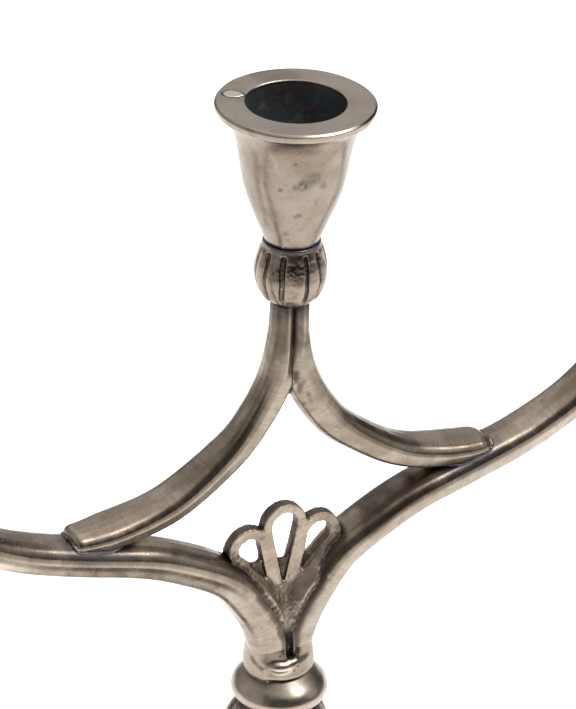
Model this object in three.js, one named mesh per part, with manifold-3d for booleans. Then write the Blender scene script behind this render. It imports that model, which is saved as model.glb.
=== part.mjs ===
// A three-light table candelabrum of worn nickel silver.
// A turned stem on a flared foot carries a branch head: two faceted arms that sweep out and up,
// a wishbone of two legs that carries the centre light, and a pierced palmette between the arms.
// Each light is a fluted knob and a flanged candle cup, held down by one long screw.
// Millimetres, +Z up, origin at the centre of the foot's underside, arms along X, front at -Y.
import * as THREE from 'three'
import { mergeVertices } from 'three/addons/utils/BufferGeometryUtils.js'
import Module from 'manifold-3d'

const wasm = await Module()
wasm.setup()

// ---------- driving dimensions ----------
const boreRadius = 11.25 // takes a standard 22 mm candle
const rimRadius = 18.1
const rimThickness = 2.2
const cupHeight = 33.8
const cupFootRadius = 6.2
const boreDepth = 23
const headHeight = 106 // table to the lower edge of the collar
const lightSpacing = 98 // centre light to side light
const rimHeight = headHeight + 150 // all three rims are level
const knobRadius = 8.3
const knobHeight = 15.5
const knobFlutes = 11
const seatGap = 0.1 // between turned pieces stacked face to face
const cutGap = 0.3 // between a piece and the neighbour it is fitted to
const screwRadius = 2
const screwHoleRadius = 2.3
const screwDepth = 9 // thread below the knob
const screwHeadRadius = 3.5
const rodRadius = 3
const rodHoleRadius = 3.3
const footRadius = 59
const feltThickness = 1.5
const footTop = 36
const knopRadius = 13.8
const knopFlutes = 14
const collarRadius = 8.45
const collarHeight = 5
const ringRadius = 11.6
const turnedSides = 24

const cupBottom = rimHeight - cupHeight
const knobBottom = cupBottom - seatGap - knobHeight
const neckTop = knobBottom - seatGap

// ---------- surface colours ----------
const finishes = {
  cup: { color: 0x9c9083, roughness: 0.34, metalness: 0.95 },
  knob: { color: 0x7f756b, roughness: 0.36, metalness: 0.95 },
  branch: { color: 0x948a7f, roughness: 0.36, metalness: 0.95 },
  palmette: { color: 0x7a7169, roughness: 0.48, metalness: 0.9 },
  stem: { color: 0x8c8279, roughness: 0.36, metalness: 0.95 },
  steel: { color: 0x8a8a88, roughness: 0.4, metalness: 1 },
  felt: { color: 0x2b3a2e, roughness: 0.95, metalness: 0 }
}

const candelabrum = new THREE.Group()

function addPiece(name, geometry, finish, position = [0, 0, 0]) {
  const piece = new THREE.Mesh(geometry, new THREE.MeshStandardMaterial(finishes[finish]))
  piece.name = name
  piece.position.set(...position)
  candelabrum.add(piece)
}

// ---------- shaping helpers ----------

// A round piece: profile is a list of [radius, height], up the outside and back down the inside.
function turned(profile, sides = turnedSides) {
  const points = profile.map(([radius, height]) => new THREE.Vector2(radius, height))
  return new THREE.LatheGeometry([...points, points[0]], sides).rotateX(Math.PI / 2)
}

// The smooth part of a profile, as a curve through a few points.
function swept(points, steps) {
  const curve = new THREE.SplineCurve(points.map(([radius, height]) => new THREE.Vector2(radius, height)))
  return curve.getPoints(steps).map((point) => [point.x, point.y])
}

// Sinks narrow grooves, evenly spaced round Z, into the outside of a turned piece.
function flute(geometry, count, depthAt, solidRadius) {
  const position = geometry.getAttribute('position')
  for (let i = 0; i < position.count; i += 1) {
    const x = position.getX(i)
    const y = position.getY(i)
    const radius = Math.hypot(x, y)
    if (radius > solidRadius) {
      const inGroove = Math.abs(Math.sin((Math.atan2(y, x) * count) / 2)) < 0.35
      const factor = 1 - (inGroove ? depthAt(position.getZ(i)) / radius : 0)
      position.setXY(i, x * factor, y * factor)
    }
  }
  geometry.computeVertexNormals()
  return geometry
}

function solidOf(geometry) {
  const bare = geometry.clone()
  bare.deleteAttribute('normal')
  bare.deleteAttribute('uv')
  const merged = mergeVertices(bare, 1e-4)
  const corners = merged.index.array
  const triangles = []
  for (let i = 0; i < corners.length; i += 3) {
    const [a, b, c] = [corners[i], corners[i + 1], corners[i + 2]]
    if (a !== b && b !== c && c !== a) {
      triangles.push(a, b, c)
    }
  }
  return new wasm.Manifold(new wasm.Mesh({
    numProp: 3,
    vertProperties: new Float32Array(merged.getAttribute('position').array),
    triVerts: new Uint32Array(triangles)
  }))
}

function geometryOf(solid) {
  const mesh = solid.getMesh()
  const geometry = new THREE.BufferGeometry()
  geometry.setAttribute('position', new THREE.BufferAttribute(mesh.vertProperties, 3))
  geometry.setIndex(new THREE.BufferAttribute(mesh.triVerts, 1))
  geometry.computeVertexNormals()
  return geometry
}

// A flat shape drawn in the XZ plane, given a thickness in Y.
function plate(shape, thickness, curveSegments = 8) {
  const settings = { depth: thickness, bevelEnabled: false, curveSegments }
  const geometry = new THREE.ExtrudeGeometry(shape, settings)
  return geometry.translate(0, 0, -thickness / 2).rotateX(Math.PI / 2)
}

function upright(radius, low, high, x = 0, sides = 24) {
  const geometry = new THREE.CylinderGeometry(radius, radius, high - low, sides)
  return geometry.rotateX(Math.PI / 2).translate(x, 0, (low + high) / 2)
}

// Lofts a section along a curve in the XZ plane. sizeAt(t) gives the half sizes across the plane
// (y) and in the plane (normal to the curve); side is 1 for the right-hand piece, -1 for the left.
function loft(curve, section, sizeAt, steps, side) {
  const vertices = []
  const triangles = []
  const count = section.length
  for (let step = 0; step <= steps; step += 1) {
    const t = step / steps
    const centre = curve.getPointAt(t)
    const along = curve.getTangentAt(t)
    const size = sizeAt(t)
    for (const [across, up] of section) {
      const x = centre.x - along.y * up * size.inPlane
      const z = centre.y + along.x * up * size.inPlane
      vertices.push(side * x, -across * size.across, z)
    }
  }
  const first = vertices.length / 3
  for (const t of [0, 1]) {
    const centre = curve.getPointAt(t)
    vertices.push(side * centre.x, 0, centre.y)
  }
  const addTriangle = (a, b, c) => triangles.push(...(side > 0 ? [a, b, c] : [a, c, b]))
  for (let i = 0; i < count; i += 1) {
    const next = (i + 1) % count
    for (let step = 0; step < steps; step += 1) {
      const low = step * count
      const high = low + count
      addTriangle(low + i, low + next, high + next)
      addTriangle(low + i, high + next, high + i)
    }
    addTriangle(first, next, i)
    addTriangle(first + 1, steps * count + i, steps * count + next)
  }
  const geometry = new THREE.BufferGeometry()
  geometry.setAttribute('position', new THREE.Float32BufferAttribute(vertices, 3))
  geometry.setIndex(triangles)
  geometry.computeVertexNormals()
  return geometry
}

// Half sizes that change smoothly between stations [t, across, inPlane].
function sizesBetween(stations, margin = 0) {
  return (t) => {
    let upper = 1
    while (upper < stations.length - 1 && t > stations[upper][0]) {
      upper += 1
    }
    const [from, to] = [stations[upper - 1], stations[upper]]
    const share = THREE.MathUtils.smoothstep(t, from[0], to[0])
    return {
      across: THREE.MathUtils.lerp(from[1], to[1], share) + margin,
      inPlane: THREE.MathUtils.lerp(from[2], to[2], share) + margin
    }
  }
}

// The cast section of arms and legs, as shares of its half sizes [across, up]: a broad rounded top,
// a soft ridge at 45 degrees, a sharp ridge just above the middle and flat faces running in below it.
const halfSection = [
  [0, 1], [0.4, 0.92], [0.71, 0.71], [0.92, 0.44], [0.99, 0.14], [0.46, -0.9], [0.18, -1]
]
const castSection = [
  ...halfSection.map(([across, up]) => [across, up]),
  ...halfSection.slice(1).reverse().map(([across, up]) => [-across, up])
]

// ---------- branch head ----------

function fromCollar(points) {
  return new THREE.SplineCurve(points.map(([x, z]) => new THREE.Vector2(x, headHeight + z)))
}

const neckLevel = neckTop - headHeight + 1 // 1 mm over, then trimmed flat for the knob
const armCurve = fromCollar([
  [1.3, -1], [5, 13.5], [12.7, 26.2], [20, 32.2], [34, 39.4], [50, 44.2], [68, 50.1], [82, 58],
  [91, 67.5], [96.4, 80], [lightSpacing, 91.5], [lightSpacing, neckLevel]
])
const armStations = [[0, 6.3, 5], [0.8, 5.8, 4.2], [1, 4.3, 4.3]]
const legCurve = fromCollar([
  [0, neckLevel], [0.1, 97], [0.6, 90.5], [3.1, 80.4], [8, 71.3], [15, 63.2], [30, 53.4], [45, 49.8],
  [57, 49.3]
])
const legStations = [
  [0, 4.2, 4.3], [0.3, 4.1, 4.2], [0.7, 5.7, 3.9], [0.93, 6.5, 3.6], [0.97, 6.2, 3.4], [1, 4.4, 2.8]
]
const armSteps = 34
const legSteps = 28
const rootSplit = 1 // half the slot between the arm roots, where the palmette's tang sits
const collarFloor = 1.5
const collarWallRadius = 7.15

// Everything above the level where the knobs sit.
function neckTrim() {
  return solidOf(new THREE.BoxGeometry(400, 60, 40).translate(0, 0, neckTop + 20))
}

// Everything beyond a plane that stands clear of the middle of the head.
function farSide(side, clearance) {
  return solidOf(new THREE.BoxGeometry(40, 60, 400).translate(side * (clearance - 20), 0, headHeight))
}

// What the collar takes away from the arm roots: a shoulder outside its wall, and all below its floor.
function rootTrim() {
  const inner = collarWallRadius - cutGap
  const [low, floor, top] = [-8, collarFloor + cutGap, collarHeight + cutGap]
  const trim = turned([[0, low], [14, low], [14, top], [inner, top], [inner, floor], [0, floor]])
  return solidOf(trim.translate(0, 0, headHeight))
}

function buildArm(side) {
  const bar = solidOf(loft(armCurve, castSection, sizesBetween(armStations), armSteps, side))
  const hole = upright(screwHoleRadius, neckTop - screwDepth - 1, neckTop + 5, side * lightSpacing)
  const trimmed = bar.subtract(solidOf(hole)).subtract(rootTrim()).subtract(neckTrim())
  return geometryOf(trimmed.subtract(farSide(side, rootSplit)))
}

function armCutter(side) {
  return solidOf(loft(armCurve, castSection, sizesBetween(armStations, cutGap), armSteps, side))
}

function buildLeg(side) {
  const bar = solidOf(loft(legCurve, castSection, sizesBetween(legStations), legSteps, side))
  const hole = solidOf(upright(screwHoleRadius, neckTop - screwDepth - 1, neckTop + 5))
  const trimmed = bar.subtract(hole).subtract(neckTrim()).subtract(armCutter(side))
  return geometryOf(trimmed.subtract(farSide(side, cutGap / 2)))
}

// The palmette is a pierced fan of three lobes, 3 mm thick, with a tang that drops between the arms.
// Each hole runs on downwards to a point as a shallow recess in both faces.
const palmetteThickness = 3
const recessDepth = 0.9
const centreLobe = { x: 0, z: 40.1, radius: 5.7, hole: 3.5, holeEnd: [0, 30.4], tip: [0, 24.5] }
const sideLobe = { x: 9.3, z: 35.8, radius: 5.5, hole: 3.2, holeEnd: [6.7, 30.5], tip: [4.8, 26.8] }

function lobeOutline() {
  const spread = Math.hypot(sideLobe.x, centreLobe.z - sideLobe.z)
  const slope = Math.atan2(sideLobe.z - centreLobe.z, sideLobe.x)
  const fromCentre = (spread ** 2 + centreLobe.radius ** 2 - sideLobe.radius ** 2) / (2 * spread)
  const notchOnCentre = slope + Math.acos(fromCentre / centreLobe.radius)
  const notchOnSide = slope + Math.PI - Math.acos((spread - fromCentre) / sideLobe.radius)
  const lift = headHeight
  const shape = new THREE.Shape()
  shape.moveTo(0.7, lift + 14)
  shape.lineTo(2.6, lift + 17)
  shape.absarc(sideLobe.x, lift + sideLobe.z, sideLobe.radius, -0.7, notchOnSide, false)
  const { x, z, radius } = centreLobe
  shape.absarc(x, lift + z, radius, notchOnCentre, Math.PI - notchOnCentre, false)
  shape.absarc(-sideLobe.x, lift + sideLobe.z, sideLobe.radius, Math.PI - notchOnSide, Math.PI + 0.7, false)
  shape.lineTo(-2.6, lift + 17)
  shape.lineTo(-0.7, lift + 14)
  shape.closePath()
  return shape
}

// An opening in a lobe: a circle joined to a smaller one, whose centre is at end.
function opening(path, lobe, side, end, endRadius) {
  const x = side * lobe.x
  const z = headHeight + lobe.z
  const endX = side * end[0]
  const endZ = headHeight + end[1]
  const heading = Math.atan2(endZ - z, endX - x)
  const half = Math.acos((lobe.hole - endRadius) / Math.hypot(endX - x, endZ - z))
  path.absarc(x, z, lobe.hole, heading + half, heading - half + 2 * Math.PI, false)
  path.absarc(endX, endZ, endRadius, heading - half, heading + half, false)
  path.closePath()
  return path
}

function recesses(lobe, side) {
  const outline = opening(new THREE.Shape(), lobe, side, lobe.tip, 0.3)
  const middle = (palmetteThickness - recessDepth) / 2 + 0.5
  const [front, back] = [-middle, middle].map((y) => (
    solidOf(plate(outline, recessDepth + 1, 9).translate(0, y, 0))
  ))
  return front.add(back)
}

// A web across the fan: seen from the side, it narrows upwards from the depth of the arms to the plate.
function web(foot, thickness) {
  const edge = [...foot, [3.8, 16], [1.5, 23.5]]
  const otherEdge = edge.map(([y, z]) => [-y, z]).reverse()
  const outline = [...edge, ...otherEdge].map(([y, z]) => new THREE.Vector2(y, headHeight + z))
  return solidOf(plate(new THREE.Shape(outline), thickness).rotateZ(Math.PI / 2))
}

function buildPalmette() {
  const lobes = [[centreLobe, 1], [sideLobe, -1], [sideLobe, 1]]
  const fan = lobeOutline()
  for (const [lobe, side] of lobes) {
    fan.holes.push(opening(new THREE.Path(), lobe, side, lobe.holeEnd, 1.4))
  }
  const keel = web([[5.5, 8]], 6)
  const tang = web([[6, 2.6], [5.5, 9]], 2 * (rootSplit - cutGap))
  let pierced = solidOf(plate(fan, palmetteThickness, 9)).add(keel)
  for (const [lobe, side] of lobes) {
    pierced = pierced.subtract(recesses(lobe, side))
  }
  return geometryOf(pierced.subtract(armCutter(1)).subtract(armCutter(-1)).add(tang))
}

// ---------- lights ----------

// Outside of the bell, as [radius, height above the cup's foot], from the foot to under the flange.
const bellOutline = [
  [cupFootRadius, 0], [6.9, 1.8], [9.3, 7.8], [11.3, 13.8], [12.4, 19.8], [13.3, 24.8], [14.6, 29]
]
const boreOutline = [[8.2, 0.4], [10.1, 6], [11, 13], [boreRadius, 17]]

function buildCup() {
  const flangeUnder = cupHeight - rimThickness
  const boreFloor = cupHeight - boreDepth
  return turned([
    ...swept(bellOutline, 7),
    [16.6, flangeUnder],
    [rimRadius - 0.5, flangeUnder + 0.1],
    [rimRadius, flangeUnder + 0.7],
    [rimRadius, cupHeight - 0.5],
    [rimRadius - 0.5, cupHeight],
    [boreRadius + 0.4, cupHeight],
    [boreRadius, cupHeight - 0.4],
    ...swept(boreOutline, 2).reverse().map(([radius, height]) => [radius, boreFloor + height]),
    [7.8, boreFloor],
    [screwHeadRadius + cutGap, boreFloor],
    [screwHoleRadius, boreFloor],
    [screwHoleRadius, 0]
  ])
}

// A melon-shaped bead with pinched flutes, flat where the cup and the neck seat on it.
function buildKnob() {
  const fluteTop = 14 // above this the bead is a plain band round the cup's foot
  const outline = swept([
    [4.5, 0], [6.9, 2.2], [knobRadius, 6.3], [8.1, 9.6], [7.4, 12.3], [6.4, knobHeight]
  ], 8)
  const knob = turned([...outline, [screwHoleRadius, knobHeight], [screwHoleRadius, 0]], knobFlutes * 3)
  const grooveDepth = (height) => Math.max(0, Math.sin((Math.PI * height) / fluteTop))
  return flute(knob, knobFlutes, grooveDepth, screwHoleRadius + 1)
}

// A slotted cheese-head screw: it stands on the floor of the bore and ends in the arm or the neck.
function buildCupScrew() {
  const headThickness = 2.2
  const boreFloor = rimHeight - boreDepth + seatGap
  const headTop = boreFloor + headThickness
  const head = solidOf(upright(screwHeadRadius, boreFloor, headTop))
  const shank = solidOf(upright(screwRadius, neckTop - screwDepth, boreFloor + 1, 0, 16))
  const slot = solidOf(new THREE.BoxGeometry(9, 0.9, 2).translate(0, 0, headTop))
  return geometryOf(head.add(shank).subtract(slot))
}

// ---------- stem and foot ----------

// A shallow cup that takes the arm roots, with a spigot below that is threaded for the tie rod.
function buildCollar() {
  const spigotRadius = 5
  return turned([
    [rodHoleRadius, -9], [spigotRadius, -9], [spigotRadius, 0], [collarRadius - 0.7, 0],
    [collarRadius, 0.6], [collarRadius, 1.6], [collarRadius - 0.4, collarHeight - 0.6],
    [collarRadius - 0.7, collarHeight], [collarWallRadius, collarHeight], [collarWallRadius, collarFloor],
    [0, collarFloor], [0, -1], [rodHoleRadius, -1]
  ])
}

function buildUpperRing() {
  const hole = 5.3
  const outside = swept([
    [7.4, -0.4], [9.2, -1.9], [11, -3.7], [ringRadius, -5.6], [11.1, -7.6], [9.2, -9.1]
  ], 8)
  return turned([[hole, -9.1], ...outside.reverse(), [hole, -0.4]])
}

// A large fluted knop, the same shape of bead as the knobs under the cups.
function buildKnop() {
  const [low, high] = [-37, -9.2]
  const outline = swept([
    [7.6, low], [11.8, -33.2], [knopRadius, -24], [12.2, -14.6], [8.8, high]
  ], 8)
  const knop = turned([...outline, [rodHoleRadius, high], [rodHoleRadius, low]], knopFlutes * 3)
  const middle = (low + high) / 2
  const fromMiddle = (height) => (height - middle) / (high - middle)
  const grooveDepth = (height) => 1.1 * Math.sqrt(Math.max(0, 1 - fromMiddle(height) ** 2))
  return flute(knop, knopFlutes, grooveDepth, rodHoleRadius + 1)
}

function buildLowerRing() {
  const [low, high] = [-41.2, -37.1]
  const bead = swept([[7.4, low], [9.1, low + 1.2], [9.1, high - 1.2], [7.4, high]], 5)
  return turned([...bead, [rodHoleRadius, high], [rodHoleRadius, low]])
}

function buildShaft() {
  const low = footTop + seatGap
  const high = headHeight - 41.3
  const outline = swept([[8.6, low], [6.6, low + 7], [5.4, low + 17], [6.4, high]], 8)
  return turned([...outline, [rodHoleRadius, high], [rodHoleRadius, low]])
}

// The foot is a hollow casting: a stepped rim, an ogee dome and a thick seat for the washer.
const rodSeat = 21
const footSides = 36

function buildFoot() {
  const low = feltThickness
  const dome = swept([
    [54.5, 8.4], [46, 11.4], [33, 15.2], [21, 20.6], [13.4, 28], [9.6, footTop - 2.4]
  ], 9)
  const hollow = swept([[14.5, 17.6], [30, 12.6], [44, 8.8], [52, 5.2]], 4)
  return turned([
    [footRadius - 0.8, low], [footRadius, low + 0.8], [footRadius, low + 3], [footRadius - 0.9, low + 4],
    [56, low + 4.2], [55.2, low + 5.4],
    ...dome,
    [10.4, footTop - 1.6], [10.4, footTop - 0.4], [10, footTop],
    [rodHoleRadius, footTop], [rodHoleRadius, rodSeat], [12.5, rodSeat],
    ...hollow,
    [53.5, low]
  ], footSides)
}

function buildFeltRing() {
  const top = feltThickness - seatGap
  return turned([[54.2, 0], [58, 0], [58, top], [54.2, top]], footSides)
}

const washerThickness = 1.6
const nutThickness = 5

function buildWasher() {
  return turned([[rodHoleRadius, 0], [9, 0], [9, washerThickness], [rodHoleRadius, washerThickness]])
}

function buildNut() {
  const hexagon = solidOf(new THREE.CylinderGeometry(5.8, 5.8, nutThickness, 6).rotateX(Math.PI / 2))
  return geometryOf(hexagon.subtract(solidOf(upright(rodRadius + 0.2, -5, 5))))
}

function buildTieRod() {
  return upright(rodRadius, 9, headHeight - 1.4, 0, 24)
}

// ---------- assembly ----------

const washerLow = rodSeat - seatGap - washerThickness
const nutMiddle = washerLow - seatGap - nutThickness / 2
const lights = { centre: 0, left: -lightSpacing, right: lightSpacing }

addPiece('felt_ring', buildFeltRing(), 'felt')
addPiece('foot', buildFoot(), 'stem')
addPiece('rod_nut', buildNut(), 'steel', [0, 0, nutMiddle])
addPiece('rod_washer', buildWasher(), 'steel', [0, 0, washerLow])
addPiece('tie_rod', buildTieRod(), 'steel')
addPiece('stem_shaft', buildShaft(), 'stem')
addPiece('lower_ring', buildLowerRing(), 'stem', [0, 0, headHeight])
addPiece('stem_knop', buildKnop(), 'knob', [0, 0, headHeight])
addPiece('upper_ring', buildUpperRing(), 'stem', [0, 0, headHeight])
addPiece('collar', buildCollar(), 'stem', [0, 0, headHeight])
addPiece('left_arm', buildArm(-1), 'branch')
addPiece('right_arm', buildArm(1), 'branch')
addPiece('palmette', buildPalmette(), 'palmette')
addPiece('left_leg', buildLeg(-1), 'branch')
addPiece('right_leg', buildLeg(1), 'branch')
for (const [place, x] of Object.entries(lights)) {
  addPiece(`${place}_knob`, buildKnob(), 'knob', [x, 0, knobBottom])
  addPiece(`${place}_cup`, buildCup(), 'cup', [x, 0, cupBottom])
  addPiece(`${place}_cup_screw`, buildCupScrew(), 'steel', [x, 0, 0])
}

export default candelabrum
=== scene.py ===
"""The looks of a three-light table candelabrum in worn nickel silver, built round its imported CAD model.

Shapes are worked out in millimetres, in the frame of the CAD model, and become metres in make().
A shape is (points, faces, flow). Flow runs round and along a piece, and carries its file marks.
Heights in the branch head are measured from the collar's lower edge. Left and right are -X and +X.
"""
import math

import bpy
import numpy as np
from mathutils import Matrix, Vector
from mathutils.bvhtree import BVHTree


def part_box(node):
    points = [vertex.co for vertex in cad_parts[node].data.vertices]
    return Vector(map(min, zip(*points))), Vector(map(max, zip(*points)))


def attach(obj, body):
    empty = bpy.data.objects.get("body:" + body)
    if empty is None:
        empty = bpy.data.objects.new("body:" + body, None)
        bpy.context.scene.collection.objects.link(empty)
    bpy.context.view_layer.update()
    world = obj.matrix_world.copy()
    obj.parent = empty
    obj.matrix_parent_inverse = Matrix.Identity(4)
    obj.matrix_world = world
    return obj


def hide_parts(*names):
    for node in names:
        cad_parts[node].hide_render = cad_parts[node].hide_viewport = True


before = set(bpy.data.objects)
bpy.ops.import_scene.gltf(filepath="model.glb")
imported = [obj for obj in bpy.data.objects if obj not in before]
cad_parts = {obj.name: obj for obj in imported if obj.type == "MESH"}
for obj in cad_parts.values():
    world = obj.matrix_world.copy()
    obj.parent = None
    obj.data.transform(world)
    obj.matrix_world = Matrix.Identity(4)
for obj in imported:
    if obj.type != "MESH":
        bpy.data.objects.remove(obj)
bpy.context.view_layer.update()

MM = 0.001
STEM = "stem_and_foot"
HEAD = "branch_head"


def low(node):
    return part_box(node)[0] / MM


def high(node):
    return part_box(node)[1] / MM


def heights(node, origin=0.0):
    """The bottom and top of a CAD node, above an origin."""
    return low(node).z - origin, high(node).z - origin


COLLAR_HEIGHT = 5
LIFT = high("collar").z - COLLAR_HEIGHT  # table to the collar's lower edge
NECK_TOP = high("left_arm").z - LIFT
SPACING = (low("right_cup").x + high("right_cup").x) / 2
LIGHTS = {"left": -SPACING, "centre": 0.0, "right": SPACING}
CORNER = -28.1  # plan bearing between front and left, from which details round a piece are counted


def bearing(angle):
    """The plan direction of a detail, angle degrees to the right of the corner, as seen from outside."""
    turn = math.radians(CORNER + angle)
    return np.array([math.sin(turn), -math.cos(turn)])


def beside(angle, radius, z):
    """The point at a bearing, a radius and a height."""
    return np.array([*(bearing(angle) * radius), z])


def degrees_round(points):
    """The angle of each point to the right of the corner, from -180 to 180."""
    turn = np.degrees(np.arctan2(points[:, 0], -points[:, 1])) - CORNER
    return (turn + 180) % 360 - 180


# ---------- camera ----------

def aim_camera(target, azimuth, elevation, distance, roll, tilt, lens):
    """Looks at target from a distance, then tilts up and rolls a little, as a hand-set tripod does."""
    a, e = math.radians(azimuth), math.radians(elevation)
    back = Vector((math.sin(a) * math.cos(e), -math.cos(a) * math.cos(e), math.sin(e)))
    right = (-back).cross(Vector((0, 0, 1))).normalized()
    look = Matrix.Rotation(math.radians(tilt), 3, right) @ -back
    up = right.cross(look)
    turn = Matrix.Rotation(math.radians(-roll), 3, look)
    axes = Matrix((turn @ right, turn @ up, -look)).transposed().to_4x4()
    data = bpy.data.cameras.new("camera")
    data.lens = lens
    data.sensor_width = 36
    data.clip_start, data.clip_end = 0.05, 50
    camera = bpy.data.objects.new("camera", data)
    camera.matrix_world = Matrix.Translation(Vector(target) + back * distance) @ axes
    bpy.context.scene.collection.objects.link(camera)
    bpy.context.scene.camera = camera


aim_camera((0, 0, (LIFT + 60) * MM), azimuth=-28.13, elevation=31.04, distance=0.7598,
           roll=1.85, tilt=1.705, lens=164.8)


# ---------- lines and sections ----------

def respaced(points, spacing):
    """Points evenly spaced along the same line, about spacing apart."""
    points = np.asarray(points, float)
    travel = distance_along(points)
    even = np.linspace(0, travel[-1], max(2, math.ceil(travel[-1] / spacing) + 1))
    return np.stack([np.interp(even, travel, column) for column in points.T], 1)


def distance_along(points):
    return np.concatenate([[0], np.cumsum(np.linalg.norm(np.diff(points, axis=0), axis=1))])


def spline(points, spacing=0.4, easing=0.0):
    """A smooth curve through the points. Easing, a length, evens out its bends."""
    knots = np.array([points[0], *points, points[-1]], float)
    t = np.linspace(0, 1, 24, endpoint=False)[:, None]
    line = []
    for before, start, end, after in zip(knots, knots[1:], knots[2:], knots[3:]):
        leave, arrive = (end - before) / 2, (after - start) / 2
        line.append((2 * t**3 - 3 * t**2 + 1) * start + (t**3 - 2 * t**2 + t) * leave
                    + (3 * t**2 - 2 * t**3) * end + (t**3 - t**2) * arrive)
    line = respaced(np.vstack([*line, knots[-1:]]), spacing)
    reach = round(easing / spacing)
    if reach:
        early = 2 * line[0] - line[reach:0:-1]
        late = 2 * line[-1] - line[-2:-2 - reach:-1]
        longer = np.vstack([early, line, late])
        window = np.hanning(2 * reach + 3)[1:-1]
        window /= window.sum()
        line = np.stack([np.convolve(column, window, "valid") for column in longer.T], 1)
    return line


def outline(*items, spacing=0.4, closed=False):
    """A line through the items: points (x, y), corners (x, y, fillet) and curves of many points."""
    corners = [tuple(point) for item in items for point in np.atleast_2d(item)]
    line = []
    for i, corner in enumerate(corners):
        here = np.array(corner[:2], float)
        if len(corner) < 3:
            line.append(here)
            continue
        ends = []
        for other in (corners[i - 1], corners[(i + 1) % len(corners)]):
            away = np.array(other[:2], float) - here
            ends.append(here + away * min(0.5, corner[2] / np.linalg.norm(away)))
        for t in np.linspace(0, 1, 6):
            line.append((1 - t) ** 2 * ends[0] + 2 * t * (1 - t) * here + t**2 * ends[1])
    if closed:
        line.append(line[0])
    dense = []
    for start, end in zip(line, line[1:]):
        steps = max(1, math.ceil(np.linalg.norm(end - start) / spacing))
        dense.extend(start + (end - start) * k / steps for k in range(steps))
    return np.array(dense if closed else [*dense, line[-1]])


def smoothstep(value, start, end):
    t = np.clip((np.asarray(value, float) - start) / (end - start), 0, 1)
    return t * t * (3 - 2 * t)


def unevenness(points, wavelength, seed):
    """A smooth random value at each point, mostly between -1 and 1."""
    draw = np.random.default_rng(seed)
    waves = 9
    value = np.zeros(len(points))
    for _ in range(waves):
        direction = draw.normal(size=3)
        direction *= 2 * math.pi / wavelength * draw.uniform(0.6, 1.5) / np.linalg.norm(direction)
        value += np.sin(points @ direction + draw.uniform(0, 2 * math.pi))
    return value / math.sqrt(waves)


def near(points, spots):
    """How close each point is to the spots (centre, radius, strength): strength there, 0 outside them."""
    value = np.zeros(len(points))
    for centre, radius, strength in spots:
        gap = np.linalg.norm(points - np.asarray(centre), axis=1)
        value = np.maximum(value, strength * smoothstep(gap, radius, radius * 0.35))
    return value


def close_to(points, spots, radius, strength):
    """The same for spots that are all alike."""
    return near(points, [(spot, radius, strength) for spot in spots])


# ---------- shapes ----------

def ring_faces(rows, columns, wrap=False):
    start = np.arange(rows if wrap else rows - 1)[:, None]
    column = np.arange(columns)
    following = (column + 1) % columns
    here, above = start * columns, (start + 1) % rows * columns
    rings = np.stack([here + column, here + following, above + following, above + column], -1)
    return rings.reshape(-1, 4).tolist()


def end_capped(points, faces, flow, columns):
    """Adds a point in the middle of the first and of the last ring, and the triangles to it."""
    end, top = len(points), len(points) - columns
    for i in range(columns):
        following = (i + 1) % columns
        faces.append([end, following, i])
        faces.append([end + 1, top + i, top + following])
    middles = [points[:columns].mean(0), points[top:].mean(0)]
    return np.vstack([points, *middles]), faces, np.vstack([flow, flow[0], flow[top]])


def turned(profile, sides, radius_at=None, capped=False):
    """Spins a profile [radius, height] round Z. It closes on itself, or is capped on the axis."""
    profile = np.asarray(profile, float)
    back = math.pi / 2
    angle = np.linspace(back, back + 2 * math.pi, sides, endpoint=False)
    angle, radius = np.meshgrid(angle, profile[:, 0])
    height = np.repeat(profile[:, 1:], sides, 1)
    along = np.repeat(distance_along(profile)[:, None], sides, 1)
    if radius_at is not None:
        radius = radius_at(angle, radius, height)
    points = np.stack([radius * np.cos(angle), radius * np.sin(angle), height], -1).reshape(-1, 3)
    flow = np.stack([np.cos(angle), np.sin(angle), along], -1).reshape(-1, 3)
    faces = ring_faces(len(profile), sides, wrap=not capped)
    return end_capped(points, faces, flow, sides) if capped else (points, faces, flow)


def loft(curve, section, sizes, side=1, round_start=0.01, round_end=0.01, spacing=0.4):
    """Carries a section (across, up) along a curve (x, z) in the XZ plane, with rounded ends."""
    travel = distance_along(curve)
    length = travel[-1]
    quarter = 1 - np.cos(np.linspace(0, math.pi / 2, 7))
    middle = np.linspace(round_start, length - round_end, math.ceil(length / spacing))
    at = np.concatenate([quarter * round_start, middle[1:-1], (length - quarter * round_end)[::-1]])
    tangent = np.gradient(curve, axis=0)
    tangent /= np.linalg.norm(tangent, axis=1)[:, None]
    x, z, along_x, along_z = (np.interp(at, travel, column) for column in (*curve.T, *tangent.T))
    across, within = sizes(at / length)
    shrink = np.zeros(len(at))
    for gap, radius in ((at, round_start), (length - at, round_end)):
        shrink += radius * (1 - np.sqrt(np.clip(1 - np.clip(1 - gap / radius, 0, 1) ** 2, 0, 1)))
    across, within = across - shrink, within - shrink
    order = [0, 0, *range(len(at)), -1, -1]
    scale = np.array([0.3, 0.7, *np.ones(len(at)), 0.7, 0.3])
    x, z, along_x, along_z = x[order], z[order], along_x[order], along_z[order]
    across, within, at = across[order] * scale, within[order] * scale, at[order]
    turn = np.linspace(0, 2 * math.pi, len(section), endpoint=False)
    ones = np.ones(len(section))
    points = np.stack([
        side * (np.outer(x, ones) - np.outer(along_z * within, section[:, 1])),
        -np.outer(across, section[:, 0]),
        np.outer(z, ones) + np.outer(along_x * within, section[:, 1]),
    ], -1).reshape(-1, 3)
    rows = np.ones(len(order))
    flow = np.stack([np.outer(rows, np.cos(turn)), np.outer(rows, np.sin(turn)), np.outer(at, ones)], -1)
    faces = ring_faces(len(order), len(section))
    return end_capped(points, faces, flow.reshape(-1, 3), len(section))


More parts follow.
